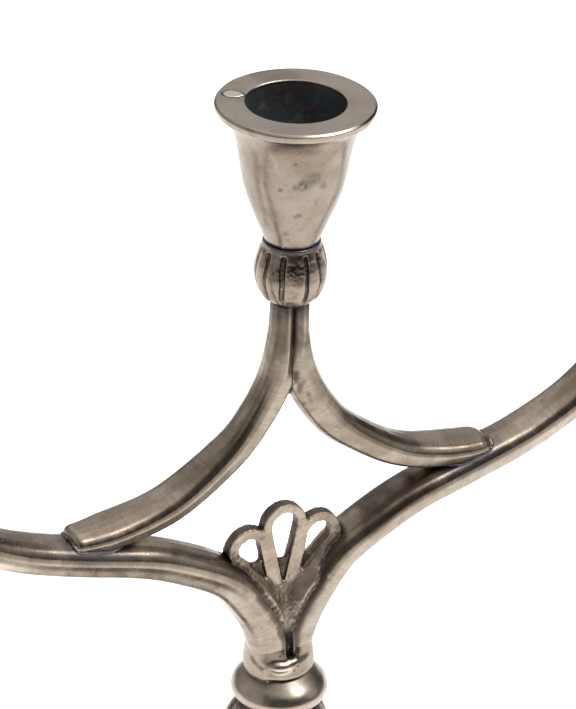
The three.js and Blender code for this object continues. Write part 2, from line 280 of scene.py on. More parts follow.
def sizes_between(stations):
    """Half sizes that change smoothly between stations (share of the length, across, within)."""
    stations = np.array(stations, float)

    def sizes(share):
        upper = np.clip(np.searchsorted(stations[:, 0], share), 1, len(stations) - 1)
        start, end = stations[upper - 1], stations[upper]
        t = smoothstep((share - start[:, 0]) / (end[:, 0] - start[:, 0]), 0, 1)[:, None]
        return (start[:, 1:] + (end[:, 1:] - start[:, 1:]) * t).T

    return sizes


def ball(centre, radii, sides=14):
    """A small ball or egg, as raw material for solder."""
    turn = np.linspace(-math.pi / 2, math.pi / 2, sides // 2 + 1)[1:-1]
    shape = turned(np.stack([np.cos(turn), np.sin(turn)], 1), sides, capped=True)
    shape[0][-2:, 2] = (-1, 1)
    return shape[0] * radii + centre, shape[1], shape[2]


def moved(shape, x=0.0, y=0.0, z=0.0):
    return shape[0] + np.array([x, y, z]), shape[1], shape[2]


def lifted(shape):
    """From heights above the collar's lower edge to heights above the table."""
    return moved(shape, z=LIFT)


def bare_mesh(shape):
    mesh = bpy.data.meshes.new("bare")
    mesh.from_pydata(shape[0].tolist(), [], shape[1])
    return mesh


def displaced(shape, amount):
    """Pushes each point out along its normal by its own amount."""
    mesh = bare_mesh(shape)
    normal = np.zeros(len(mesh.vertices) * 3)
    mesh.vertex_normals.foreach_get("vector", normal)
    bpy.data.meshes.remove(mesh)
    return shape[0] + normal.reshape(-1, 3) * np.asarray(amount)[:, None], shape[1], shape[2]


def uneven(shape, wavelength, amplitude, seed):
    return displaced(shape, unevenness(shape[0], wavelength, seed) * amplitude)


def fused(shapes, voxel, smoothing):
    """Melts overlapping shapes into one skin of small even faces."""
    points, faces = [], []
    for shape in shapes:
        start = sum(len(p) for p in points)
        points.append(shape[0])
        faces.extend([corner + start for corner in face] for face in shape[1])
    obj = bpy.data.objects.new("melt", bare_mesh((np.vstack(points), faces)))
    bpy.context.scene.collection.objects.link(obj)
    remesh = obj.modifiers.new("remesh", "REMESH")
    remesh.mode = "VOXEL"
    remesh.voxel_size = voxel
    smooth = obj.modifiers.new("smooth", "SMOOTH")
    smooth.iterations = smoothing
    melted = obj.evaluated_get(bpy.context.evaluated_depsgraph_get()).to_mesh()
    skin = np.array([v.co for v in melted.vertices])
    quads = [list(face.vertices) for face in melted.polygons]
    bpy.data.objects.remove(obj)
    return skin, quads, np.zeros((len(skin), 3))


def seam(shape, other):
    """Middles of the faces of shape that cross the other shape."""
    trees = [BVHTree.FromPolygons(s[0].tolist(), s[1]) for s in (shape, other)]
    crossing = sorted({pair[0] for pair in trees[0].overlap(trees[1])})
    return np.array([shape[0][shape[1][i]].mean(0) for i in crossing]).reshape(-1, 3)


def spaced(points, gap):
    """Leaves out points that lie closer than gap to one that is kept."""
    kept = []
    for point in points:
        if all(np.linalg.norm(point - other) > gap for other in kept):
            kept.append(point)
    return kept


def make(name, shape, body, nodes, slot, material, **masks):
    """Turns a shape into a piece. Masks are values from 0 to 1 at each point, for its material."""
    points, faces, flow = shape
    mesh = bpy.data.meshes.new(name)
    mesh.from_pydata((points * MM).tolist(), [], faces)
    corners = points[[face[:3] for face in faces]]
    volume = np.einsum("ij,ij->i", corners[:, 0], np.cross(corners[:, 1], corners[:, 2])).sum()
    if volume < 0:
        mesh.flip_normals()
    mesh.polygons.foreach_set("use_smooth", np.ones(len(faces), bool))
    along = mesh.attributes.new("flow", "FLOAT_VECTOR", "POINT")
    along.data.foreach_set("vector", flow.astype(np.float32).ravel())
    for mask, value in masks.items():
        layer = mesh.attributes.new(mask, "FLOAT", "POINT")
        layer.data.foreach_set("value", np.asarray(value, np.float32))
    mesh.materials.append(material)
    obj = bpy.data.objects.new(name, mesh)
    bpy.context.scene.collection.objects.link(obj)
    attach(obj, body)
    if nodes:
        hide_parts(*nodes)


# ---------- materials ----------

def feed(tree, made, inputs):
    """Links the inputs that are sockets to a node, and sets the others as plain values."""
    for key, value in inputs.items():
        if isinstance(value, bpy.types.NodeSocket):
            tree.links.new(value, made.inputs[key])
        else:
            made.inputs[key].default_value = value


def node(tree, kind, inputs=None, **settings):
    made = tree.nodes.new("ShaderNode" + kind)
    for key, value in settings.items():
        setattr(made, key, value)
    feed(tree, made, inputs or {})
    return made


def maths(tree, operation, a, b=0.0, clamp=False):
    return node(tree, "Math", {0: a, 1: b}, operation=operation, use_clamp=clamp).outputs[0]


def plus(tree, a, b):
    return maths(tree, "ADD", a, b)


def minus(tree, a, b, clamp=False):
    return maths(tree, "SUBTRACT", a, b, clamp)


def times(tree, a, b, clamp=False):
    return maths(tree, "MULTIPLY", a, b, clamp)


def ramp(tree, value, start, end, at_start=0.0, at_end=1.0):
    """A smooth change from one value to another."""
    inputs = {0: value, 1: start, 2: end, 3: at_start, 4: at_end}
    return node(tree, "MapRange", inputs, interpolation_type="SMOOTHSTEP").outputs[0]


def blend(tree, factor, a, b):
    """Colour a where factor is 0, colour b where it is 1."""
    return node(tree, "Mix", {0: factor, 6: a, 7: b}, data_type="RGBA").outputs[2]


def noise(tree, vector, scale, detail=4.0, roughness=0.55, distortion=0.0):
    inputs = {"Vector": vector, "Scale": scale, "Detail": detail, "Roughness": roughness,
              "Distortion": distortion}
    return node(tree, "TexNoise", inputs).outputs[0]


def attribute(tree, name, output="Fac"):
    return node(tree, "Attribute", attribute_name=name).outputs[output]


def scaled(tree, vector, scale):
    return node(tree, "VectorMath", {0: vector, 1: scale}, operation="MULTIPLY").outputs[0]


def millimetres(tree):
    """Where a point is on its piece."""
    return scaled(tree, node(tree, "TexCoord").outputs["Object"], (1 / MM,) * 3)


def along_flow(tree, scale, detail, roughness=0.55):
    """Marks that run round a piece, as its flow does."""
    return noise(tree, scaled(tree, attribute(tree, "flow", "Vector"), scale), 1.0, detail, roughness)


def bumped(tree, height, distance=MM):
    return node(tree, "Bump", {"Strength": 1.0, "Distance": distance, "Height": height}).outputs[0]


def new_material(name):
    material = bpy.data.materials.new(name)
    material.use_nodes = True
    return material, material.node_tree, material.node_tree.nodes["Principled BSDF"]


def colour(red, green, blue):
    return (red, green, blue, 1.0)


PALE = colour(0.50, 0.43, 0.365)
WARM = colour(0.37, 0.305, 0.245)
BROWN = colour(0.17, 0.13, 0.098)
SOOT = colour(0.025, 0.023, 0.024)
PLUM = colour(0.085, 0.067, 0.06)
BLUING = colour(0.13, 0.135, 0.165)
INK = colour(0.16, 0.225, 0.25)


def pits(tree, place):
    """Small round pits, in one cell out of six or so."""
    cell = node(tree, "TexVoronoi", {"Vector": place, "Scale": 0.55, "Randomness": 1.0})
    chance = node(tree, "SeparateColor", {0: cell.outputs["Color"]}).outputs[0]
    pit = ramp(tree, cell.outputs["Distance"], 0.05, 0.12, 1.0, 0.0)
    return times(tree, pit, ramp(tree, chance, 0.8, 0.86))


def tarnished(tree, patch, edge):
    """How dark the metal is: by the piece's own mask of patina and painted shade, and in hollows, where
    ambient occlusion paints shade as well as patina; patchily, and not on its edges.
    """
    # Painted shade: ambient occlusion darkens hollows and the gaps between pieces, and stands for patina
    # there as well.
    hollow = node(tree, "AmbientOcclusion", {"Distance": 2.2 * MM}, samples=8).outputs["AO"]
    dark = plus(tree, attribute(tree, "tarnish"), ramp(tree, hollow, 0.15, 0.85, 0.6, 0.0))
    dark = times(tree, dark, ramp(tree, patch, 0.25, 0.7, 0.7, 1.3), clamp=True)
    return minus(tree, dark, edge, clamp=True)


def worn_metal(name, pale=PALE, warm=WARM, film=0.5, marks=(0, 0, 0), mark_depth=0.0, mark_tone=0.15,
               grain=0.004, edge_wear=0.5, roughness=0.24, lightness=1.0):
    """Nickel silver that was filed, polished and handled: a patchy brown film, stains, pits and
    scratches, file marks along its flow, dark patina in hollows and at joints, painted shade where
    the masks and ambient occlusion put it, bright edges, and painted highlights where the masks put them."""
    material, tree, shader = new_material(name)
    place = millimetres(tree)
    cloud = noise(tree, place, 0.11, 5, 0.6)
    patch = noise(tree, place, 0.23, 8, 0.62, 0.8)
    fine = noise(tree, place, 1.7, 5, 0.65)
    file_mark = along_flow(tree, marks, 3, 0.6)
    pit = pits(tree, place)
    vein = maths(tree, "ABSOLUTE", minus(tree, patch, 0.47))
    vein = times(tree, ramp(tree, vein, 0.0, 0.012, 0.5, 0.0), ramp(tree, cloud, 0.5, 0.62))
    stain = times(tree, attribute(tree, "stain"), ramp(tree, fine, 0.3, 0.62, 0.35, 1.1), clamp=True)
    edge = ramp(tree, node(tree, "NewGeometry").outputs["Pointiness"], 0.505, 0.57, 0.0, edge_wear)
    dark = tarnished(tree, patch, edge)
    blued = times(tree, attribute(tree, "bluing"), ramp(tree, patch, 0.3, 0.6, 0.5, 1.1), clamp=True)
    bore = attribute(tree, "bore")
    ink = blend(tree, ramp(tree, cloud, 0.4, 0.6), INK, colour(0.19, 0.145, 0.165))
    ink = blend(tree, ramp(tree, patch, 0.5, 0.7), ink, colour(0.36, 0.31, 0.27))
    tone = blend(tree, ramp(tree, cloud, 0.35, 0.68), pale, warm)
    for amount, shade in (
            (ramp(tree, file_mark, 0.4, 0.7, 0.0, mark_tone), BROWN),
            (ramp(tree, patch, 0.62 - 0.14 * film, 0.8, 0.0, 0.7), BROWN),
            (maths(tree, "MAXIMUM", vein, times(tree, pit, 0.8)), BROWN),
            (stain, blend(tree, ramp(tree, patch, 0.4, 0.6), BROWN, SOOT)),
            # Patina, and painted shade from the masks and from ambient occlusion.
            (ramp(tree, dark, 0.03, 0.4), BROWN),
            (ramp(tree, dark, 0.3, 0.7), PLUM),
            (ramp(tree, dark, 0.6, 1.0), SOOT),
            (times(tree, edge, 0.5), colour(0.58, 0.52, 0.46)),
            (1.0 - lightness, SOOT),
            # Polished metal where the mask says so, and painted highlights and reflections where it stands
            # for light.
            (attribute(tree, "polish"), colour(0.70, 0.61, 0.525)),
            (blued, BLUING),
            (bore, ink)):
        tone = blend(tree, amount, tone, shade)
    dullness = ramp(tree, patch, 0.3, 0.75, roughness - 0.04, roughness + 0.08)
    dullness = plus(tree, plus(tree, dullness, times(tree, dark, 0.18)), times(tree, bore, 0.12))
    height = plus(tree, times(tree, file_mark, mark_depth), times(tree, fine, grain))
    height = plus(tree, minus(tree, height, times(tree, pit, 0.05)), times(tree, cloud, 0.035))
    feed(tree, shader, {"Base Color": tone, "Metallic": ramp(tree, bore, 0, 1, 1.0, 0.78),
                        "Roughness": dullness, "Normal": bumped(tree, height)})
    return material


def wool_felt():
    material, tree, shader = new_material("green_felt")
    place = millimetres(tree)
    fibre = noise(tree, place, 2.6, 8, 0.7, 2.0)
    worn = noise(tree, place, 0.15, 4)
    tone = blend(tree, ramp(tree, fibre, 0.3, 0.7), colour(0.012, 0.028, 0.016), colour(0.045, 0.075, 0.05))
    tone = blend(tree, ramp(tree, worn, 0.5, 0.75, 0.0, 0.5), tone, colour(0.09, 0.10, 0.075))
    feed(tree, shader, {"Base Color": tone, "Roughness": 0.95, "Sheen Weight": 0.4,
                        "Normal": bumped(tree, fibre, 0.4 * MM)})
    return material


def rusty_steel():
    material, tree, shader = new_material("steel_hardware")
    rust = noise(tree, millimetres(tree), 0.5, 7, 0.65, 0.5)
    grain = along_flow(tree, (2.0, 2.0, 5.0), 3)
    tone = blend(tree, ramp(tree, grain, 0.35, 0.65), colour(0.42, 0.41, 0.39), colour(0.3, 0.29, 0.27))
    tone = blend(tree, ramp(tree, rust, 0.52, 0.68, 0.0, 0.85), tone, colour(0.10, 0.05, 0.028))
    height = plus(tree, times(tree, grain, 0.02), times(tree, rust, 0.05))
    feed(tree, shader, {"Base Color": tone, "Metallic": 0.9,
                        "Roughness": ramp(tree, rust, 0.45, 0.7, 0.35, 0.75),
                        "Normal": bumped(tree, height)})
    return material


CUP_METAL = worn_metal("cup_metal", colour(0.50, 0.42, 0.345), colour(0.375, 0.295, 0.23), film=0.4,
                       marks=(0.9, 0.9, 1.4), mark_depth=0.0015, mark_tone=0.08, grain=0.002,
                       roughness=0.25, lightness=0.66)
KNOB_METAL = worn_metal("knob_metal", colour(0.50, 0.41, 0.325), colour(0.36, 0.285, 0.215), film=0.65,
                        marks=(0.8, 0.8, 1.6), mark_depth=0.006, grain=0.012, roughness=0.26,
                        lightness=0.68)
BRANCH_METAL = worn_metal("branch_metal", colour(0.46, 0.385, 0.31), colour(0.31, 0.245, 0.185),
                          film=0.75, marks=(0.9, 0.9, 1.9), mark_depth=0.007, mark_tone=0.32,
                          roughness=0.27, lightness=0.87)
PALMETTE_METAL = worn_metal("palmette_metal", colour(0.50, 0.415, 0.335), colour(0.36, 0.285, 0.22),
                            film=0.8, grain=0.1, edge_wear=0.3, roughness=0.38)
STEM_METAL = worn_metal("stem_metal", colour(0.48, 0.40, 0.325), colour(0.33, 0.26, 0.20), film=0.6,
                        marks=(0.5, 0.5, 2.2), mark_depth=0.004, mark_tone=0.12, roughness=0.27,
                        lightness=0.82)
SOLDER_METAL = worn_metal("solder_metal", film=0.9, grain=0.02, edge_wear=0.2, roughness=0.34,
                          lightness=0.8)
PATCH_METAL = worn_metal("patch_metal", film=0.0, grain=0.01, roughness=0.25)
STEEL = rusty_steel()
FELT = wool_felt()


# ---------- branch head: arms and legs ----------

HALF_SECTION = [(0, 1), (0.42, 0.955), (0.77, 0.79, 0.24), (0.94, 0.45), (0.99, 0.14, 0.08),
                (0.66, -0.79, 0.2), (0.25, -0.97), (0.1, -1)]  # across, up, fillet
MIRRORED_HALF = [(-across, *rest) for across, *rest in HALF_SECTION[:0:-1]]
SECTION = respaced(outline(*HALF_SECTION, *MIRRORED_HALF, spacing=0.02, closed=True), 2 * math.pi / 88)
ARM_CURVE = spline([(1.3, -1), (5, 13.5), (12.7, 26.2), (20, 32.2), (34, 39.4), (50, 44.2), (68, 50.1),
                    (82, 58), (91, 67.5), (96.4, 80), (SPACING, 91.5), (SPACING, NECK_TOP)], easing=5)
ARM_SIZES = sizes_between([(0, 6.3, 5), (0.8, 5.8, 4.2), (1, 4.3, 4.3)])
LEG_CURVE = spline([(0, NECK_TOP), (0.1, 97), (0.6, 90.5), (3.1, 80.4), (8, 71.3), (15, 63.2),
                    (30, 53.4), (45, 49.8), (57, 49.3)], easing=4)
LEG_SIZES = sizes_between([(0, 4.2, 4.3), (0.3, 4.1, 4.2), (0.7, 5.7, 3.9), (0.88, 6.0, 3.6),
                           (1, 5.1, 3.1)])
LEG_LENGTH = {-1: 1.2, 1: 0.8}  # how much short of the CAD leg each leg ends
ROOT_SPLIT = 0.9  # half the slot between the arm roots


def pressed_flat(shape, side, clearance):
    """Flattens what lies past a plane near the middle of the head."""
    points = shape[0].copy()
    points[:, 0] = side * np.maximum(side * points[:, 0], clearance)
    return points, shape[1], shape[2]


def cast_surface(shape, seed):
    """Long, shallow waves and short, shallower ones."""
    return uneven(uneven(shape, 20, 0.06, seed), 6, 0.015, seed + 1)


def arm_shape(side, seed):
    shape = loft(ARM_CURVE, SECTION, ARM_SIZES, side, round_start=0.5, round_end=0.3)
    return cast_surface(pressed_flat(shape, side, ROOT_SPLIT), seed)


def leg_bar(side, tip):
    """A leg before its flat inner side is cut."""
    travel = distance_along(LEG_CURVE)
    short = travel < travel[-1] - LEG_LENGTH[side]
    return loft(LEG_CURVE[short], SECTION, LEG_SIZES, side, round_start=0.3, round_end=tip)


def grooved(points):
    """Sinks a V between the two legs, where they run side by side up to the knob."""
    shallow = np.clip(1 - np.abs(points[:, 0]) / 2.1, 0, 1) ** 1.3
    depth = 0.42 * smoothstep(points[:, 2], 79, 86) * shallow
    return points * np.stack([np.ones(len(points)), 1 - depth, np.ones(len(points))], 1)


def leg_shape(side, seed, tip):
    points, faces, flow = pressed_flat(leg_bar(side, tip), side, 0.08)
    return cast_surface((grooved(points), faces, flow), seed)


ARMS = {-1: arm_shape(-1, 11), 1: arm_shape(1, 21)}
LEGS = {-1: leg_shape(-1, 31, 2.0), 1: leg_shape(1, 41, 4.2)}
SIDE_NAMES = {-1: "left", 1: "right"}


# ---------- branch head: palmette ----------

PLATE = 3.0
CENTRE_LOBE = {"x": 0, "z": 40.1, "radius": 5.7, "hole": 3.45, "end": (0, 31.7), "tip": (0, 24.5)}
SIDE_LOBE = {"x": 9.3, "z": 35.8, "radius": 5.5, "hole": 3.2, "end": (7.2, 31.6), "tip": (4.8, 26.8)}
LEFT_LOBE = SIDE_LOBE | {"hole": 2.8, "end": (7.5, 32.2)}
LOBES = ((CENTRE_LOBE, 1), (SIDE_LOBE, 1), (LEFT_LOBE, -1))


def arc(x, z, radius, start, end, steps=24):
    turn = np.linspace(start, end, steps)
    return np.stack([x + radius * np.cos(turn), z + radius * np.sin(turn)], 1)


def fan_outline():
    """The upper edges of the three lobes, then straight in to the keel."""
    spread = math.hypot(SIDE_LOBE["x"], CENTRE_LOBE["z"] - SIDE_LOBE["z"])
    slope = math.atan2(SIDE_LOBE["z"] - CENTRE_LOBE["z"], SIDE_LOBE["x"])
    big, small = CENTRE_LOBE["radius"], SIDE_LOBE["radius"]
    reach = (spread**2 + big**2 - small**2) / (2 * spread)
    on_centre = slope + math.acos(reach / big)
    on_side = slope + math.pi - math.acos((spread - reach) / small)
    right = arc(SIDE_LOBE["x"], SIDE_LOBE["z"], small, -0.7, on_side)
    top = arc(0, CENTRE_LOBE["z"], big, on_centre, math.pi - on_centre)
    left = right[::-1] * (-1, 1)
    return np.vstack([(0.7, 14), (2.6, 17), right, top, left, (-2.6, 17), (-0.7, 14)])


def opening(lobe, side, end, end_radius):
    """A circle in the lobe joined to a smaller circle."""
    heading = math.atan2(end[1] - lobe["z"], end[0] - lobe["x"])
    half = math.acos((lobe["hole"] - end_radius) / math.hypot(end[0] - lobe["x"], end[1] - lobe["z"]))
    big = arc(lobe["x"], lobe["z"], lobe["hole"], heading + half, heading - half + 2 * math.pi, 40)
    return np.vstack([big, arc(*end, end_radius, heading - half, heading + half, 12)]) * (side, 1)


def plate_shape(outlines, front, back):
    """A flat plate in the XZ plane with holes, from one Y to another."""
    data = bpy.data.curves.new("plate", "CURVE")
    data.dimensions = "2D"
    data.fill_mode = "BOTH"
    data.extrude = (back - front) / 2
    for line in outlines:
        run = data.splines.new("POLY")
        run.points.add(len(line) - 1)
        places = np.column_stack([line, np.zeros(len(line)), np.ones(len(line))])
        run.points.foreach_set("co", places.ravel())
        run.use_cyclic_u = True
    obj = bpy.data.objects.new("plate", data)
    bpy.context.scene.collection.objects.link(obj)
    mesh = obj.evaluated_get(bpy.context.evaluated_depsgraph_get()).to_mesh()
    x, z, y = np.array([v.co for v in mesh.vertices]).T
    faces = [list(face.vertices) for face in mesh.polygons]
    bpy.data.objects.remove(obj)
    return np.stack([x, (front + back) / 2 - y, z], 1), faces, np.zeros((len(x), 3))


def keel_shape():
    """The stem of the fan, which drops forwards and backwards to fill the gap between the arms."""
    rows = np.array([(2.6, 5.9, 0.95), (7, 5.1, 1.1), (11, 4.8, 2), (15, 4.3, 3.2), (19, 3.3, 4.2),
                     (22, 2.2, 4.6), (24.5, 1.45, 4.6)])  # height, half depth, half width
    turn = np.linspace(0, 2 * math.pi, 60, endpoint=False)
    circle = np.stack([np.sin(turn), np.cos(turn)], 1)
    section = np.sign(circle) * np.abs(circle) ** 0.55
    axis = np.stack([np.zeros(2), rows[[0, -1], 0]], 1)

    def sizes(share):
        height = rows[0, 0] + share * (rows[-1, 0] - rows[0, 0])
        return [np.interp(height, rows[:, 0], rows[:, i]) for i in (1, 2)]

    return loft(respaced(axis, 0.4), section, sizes)


def filleted(shape, arm):
    """Thickens the fan in and beside an arm, nearly to the arm's faces, as a fillet of solder does."""
    reach = 3.0
    tree = BVHTree.FromPolygons(arm[0].tolist(), arm[1])
    corners = arm[0][[face[:3] for face in arm[1]]]
    outward = np.sign(np.einsum("ij,ij->i", corners[:, 0], np.cross(corners[:, 1], corners[:, 2])).sum())
    points = shape[0].copy()
    for i, point in enumerate(shape[0]):
        place, normal, _, gap = tree.find_nearest(Vector(point), 4.5)
        if place is None:
            continue
        inside = outward * (Vector(point) - place).dot(normal) < 0
        share = smoothstep(gap, 4.2, 2.8) if inside else max(0.0, 1 - gap / reach) ** 1.7
        edge = 5.3 - 2.6 * smoothstep(point[2], 24, 33)
        depth = abs(point[1])
        if depth < edge:
            points[i, 1] += np.sign(point[1]) * share * (edge - depth) * min(1, depth / (PLATE / 2))
    return points, shape[1], shape[2]


def palmette_shape():
    """The fan. Each hole runs on down to a point as a recess in both faces."""
    through = [opening(lobe, side, lobe["end"], 1.4) for lobe, side in LOBES]
    to_tip = [opening(lobe, side, lobe["tip"], 0.25) for lobe, side in LOBES]
    half, depth = PLATE / 2, 0.95
    fan = fan_outline()
    layers = [plate_shape([fan, *to_tip], -half, depth - half),
              plate_shape([fan, *through], depth - half - 0.1, half - depth + 0.1),
              plate_shape([fan, *to_tip], half - depth, half)]
    shape = fused([*layers, keel_shape()], 0.25, 4)
    for side in (-1, 1):
        shape = filleted(shape, ARMS[side])
    joints = [point for side in (-1, 1) for point in spaced(seam(shape, ARMS[side]), 1.2)]
    rough = 0.03 + 0.02 * smoothstep(shape[0][:, 2], 28, 20) + close_to(shape[0], joints, 1.7, 0.04)
    stipple = unevenness(shape[0], 1.5, 51) + 0.7 * unevenness(shape[0], 0.9, 52)
    return displaced(shape, rough * stipple + 0.05 * unevenness(shape[0], 6, 53))


def palmette_tarnish(points):
    """Dark in the holes and their recesses, less so round the fan's edge, and dark down in the V."""
    wall = smoothstep(np.abs(points[:, 1]), PLATE / 2 - 0.15, PLATE / 2 - 0.5)
    rim = np.zeros(len(points))
    for lobe, side in LOBES:
        reach = np.hypot(points[:, 0] - side * lobe["x"], points[:, 2] - lobe["z"])
        rim = np.maximum(rim, smoothstep(reach, lobe["radius"] - 1.1, lobe["radius"] - 0.5))
    in_fan = smoothstep(points[:, 2], 22, 25)
    walls = wall * (0.48 * rim + 0.8 * (1 - rim)) * in_fan
    return np.maximum(walls, smoothstep(points[:, 2], 16.5, 9.5) * 0.88)


# ---------- branch head: collar and solder ----------

def arm_root(side):
    """The lower end of an arm, swollen at its foot, which runs into the collar like a fillet."""
    reach, swell = 13.0, 1.7
    curve = ARM_CURVE[distance_along(ARM_CURVE) < reach]

    def sizes(share):
        across, within = ARM_SIZES(share * reach / distance_along(ARM_CURVE)[-1])
        extra = swell * (1 - 1.5 * smoothstep(share, 0.25, 1.0))
        return across + extra, within + extra

    return pressed_flat(loft(curve, SECTION, sizes, side), side, ROOT_SPLIT + 0.3)


def along_segment(points, start, end, width):
    """1 on a short line, falling to 0 at its width and towards its ends."""
    line = end - start
    share = np.clip((points - start) @ line / (line @ line), 0, 1)
    gap = np.linalg.norm(points - start - share[:, None] * line, axis=1)
    return smoothstep(gap, width, 0.2 * width) * np.sqrt(np.clip(4.4 * share * (1 - share), 0, 1))


def collar_shape():
    """The collar, with the arms' feet run into it. Gives its shape, where it is dark and where bright."""
    wall = outline((7.6, 0, 0.2), (8.35, 0.2, 0.35), (8.55, 0.9, 0.4), (8.3, 1.7, 0.5), (8.15, 2.6),
                   (8.2, 4.0, 0.5), (7.6, 5.3, 0.8), (6.0, 5.4), spacing=0.25)
    body = turned([(0.01, 0), (4, 0), *wall, (4, 5.4), (0.01, 5.4)], 120, capped=True)
    bump = ball(beside(10, 5.9, 3.7), (3.9, 2.9, 1.9))
    shape = fused([body, arm_root(-1), arm_root(1), bump], 0.25, 20)
    points = shape[0]
    slit = along_segment(points, beside(-56, 7.8, 5.4), beside(-24, 8.3, 3.0), 1.3)
    small_pits = near(points, [(beside(36, 8.2, 3.9), 0.5, 0.8), (beside(29, 8.2, 3.0), 0.45, 0.8)])
    shape = displaced(shape, 0.04 * unevenness(points, 5, 61) - 0.28 * slit - 0.25 * small_pits)
    notch = near(points, [(beside(4, 7.0, 6.6), 0.7, 0.3)])
    return shape, np.maximum(0.4 * slit, notch), near(points, [(beside(10, 8.6, 4.0), 3.2, 0.8)])


def beads(points, gap, smallest, largest, seed):
    """A rough string of solder along a seam."""
    draw = np.random.default_rng(seed)
    return [ball(point + draw.normal(0, 0.12, 3),
                 draw.uniform(smallest, largest) * draw.uniform(0.8, 1.2, 3))
            for point in spaced(points, gap)]


def rope(points, radius, seed):
    """A smooth fillet of solder along a seam."""
    draw = np.random.default_rng(seed)
    balls = [ball(point, np.full(3, radius) * draw.uniform(0.85, 1.15)) for point in spaced(points, 0.45)]
    shape = fused(balls, 0.22, 8)
    return uneven(uneven(shape, 3, 0.08, seed), 1.2, 0.03, seed + 1)


def make_solder(name, shape, **masks):
    make(name, lifted(shape), HEAD, [], "branch_metal", SOLDER_METAL, **masks)


def build_leg_solder(side, contact):
    """A smooth fillet under the leg, and rough crumbs of solder in front of its tip."""
    name = SIDE_NAMES[side]
    fillet = rope(contact, 0.62, 70 + side)
    make_solder(f"{name}_leg_solder", fillet, tarnish=np.full(len(fillet[0]), 0.22),
                bluing=0.75 * smoothstep(np.abs(fillet[0][:, 0]), 56, 50))
    outer = contact[np.abs(contact[:, 0]) > np.abs(contact[:, 0]).max() - 1.2]
    outer = outer[outer[:, 1] < 1]
    largest, smoothing = (0.85, 3) if side < 0 else (0.45, 6)
    crumbs = uneven(fused(beads(outer, 0.7, 0.4, largest, 74 + side), 0.22, smoothing), 0.9, 0.08, 75)
    make_solder(f"{name}_leg_crumbs", crumbs,
                tarnish=np.clip(0.35 + 0.4 * unevenness(crumbs[0], 3, 76), 0, 1))


def build_neck_solder():
    """Fills the seam where the legs run side by side, down into the crotch where they part."""
    line = seam(leg_bar(-1, 1), leg_bar(1, 1))
    line = grooved(line[(line[:, 2] < NECK_TOP - 1.5) & (np.abs(line[:, 0]) < 1)] * (0, 1, 1))
    radii = 1.1 + 0.1 * smoothstep(line[:, 2], 86, 80)
    inward = line - np.sign(line) * (0, 1, 0) * (radii * 0.92)[:, None]
    balls = [ball(point, (radius,) * 3) for point, radius in zip(inward[::2], radii[::2])]
    shape = uneven(fused(balls, 0.2, 8), 3, 0.04, 78)
    z = shape[0][:, 2]
    make_solder("neck_solder", shape, tarnish=0.42 + 0.2 * smoothstep(z, 86, 80),
                bluing=0.2 * smoothstep(z, 88, 83))


def build_arm(side, contact, web):
    """An arm: blued by the leg, dark between the roots, beside the palmette and on top, and bright below
    with a painted reflection of the floor.
    """
    points = ARMS[side][0]
    out = side * points[:, 0]
    level = points[:, 2] - np.interp(out, ARM_CURVE[:, 0], ARM_CURVE[:, 1])
    by_leg = close_to(points, contact, 4.5, 0.5)
    by_palmette = near(points, [(spot, 2.6 if spot[2] < 27 else 3.2, 0.45) for spot in web])
    inner = 0.7 * smoothstep(points[:, 2], 16, 6) * smoothstep(out, 2.6, 1.2)
    upper = smoothstep(level, 0.9, 2.4) * smoothstep(out, 15, 22) * smoothstep(out, 43, 33)
    upper *= (0.5 if side > 0 else 0.12) + 0.12 * unevenness(points, 7, 48)
    # Painted reflection of the floor on the lower facet, strong on the left arm and faint on the right.
    lower = smoothstep(level, -0.6, -1.8) * (out < 75)
    make(f"{SIDE_NAMES[side]}_arm_cast", lifted(ARMS[side]), HEAD, [f"{SIDE_NAMES[side]}_arm"],
         "branch_metal", BRANCH_METAL,
         tarnish=np.clip(np.maximum.reduce([0.3 * by_leg, by_palmette, inner, upper]), 0, 1),
         bluing=by_leg, polish=(0.9 if side < 0 else 0.1) * lower * smoothstep(out, 8, 22))


def build_leg(side, contact):
    """A leg: painted shade in the crotch, and dark under the knob and round its tip."""
    points = LEGS[side][0]
    # Painted shade in the crotch where the legs part, deeper on the right leg, and blued a little.
    crotch = near(points, [((0.6 + 0.8 * k, -3.2, 81.5 - 1.9 * k), 2.2, 0.6 - 0.08 * k) for k in range(5)])
    crotch *= 0.4 if side < 0 else 0.6 + 0.4 * unevenness(points, 2.5, 44)
    crotch = np.clip(crotch, 0, 1)
    z = points[:, 2]
    under_knob = 0.4 * smoothstep(z, NECK_TOP - 5, NECK_TOP) + 0.3 * smoothstep(z, 82, 92)
    tip = close_to(points, contact, 1.5, 0.4)
    make(f"{SIDE_NAMES[side]}_leg_cast", lifted(LEGS[side]), HEAD, [f"{SIDE_NAMES[side]}_leg"],
         "branch_metal", BRANCH_METAL,
         tarnish=np.maximum.reduce([crotch, under_knob, tip]), bluing=0.5 * crotch)


def build_branch_head():
    palmette = palmette_shape()
    webs = []
    for side in (-1, 1):
        contact = seam(LEGS[side], ARMS[side])
        web = seam(palmette, ARMS[side])
        web = spaced(web[web[:, 2] > 8], 1.2)
        webs += web
        build_arm(side, spaced(contact, 1.2), web)
        build_leg(side, spaced(contact, 1.2))
        build_leg_solder(side, contact)
    build_neck_solder()
    make("palmette_cast", lifted(palmette), HEAD, ["palmette"], "palmette_metal", PALMETTE_METAL,
         tarnish=np.maximum(close_to(palmette[0], webs, 1.6, 0.5), palmette_tarnish(palmette[0])),
         stain=0.25 * smoothstep(palmette[0][:, 2], 27, 20))
    collar, dark, bright = collar_shape()
    make("collar_soldered", lifted(collar), HEAD, ["collar"], "stem_metal", STEM_METAL,
         tarnish=np.maximum(dark, smoothstep(collar[0][:, 2], 0.3, 0) * 0.5), polish=bright)


# ---------- lights ----------

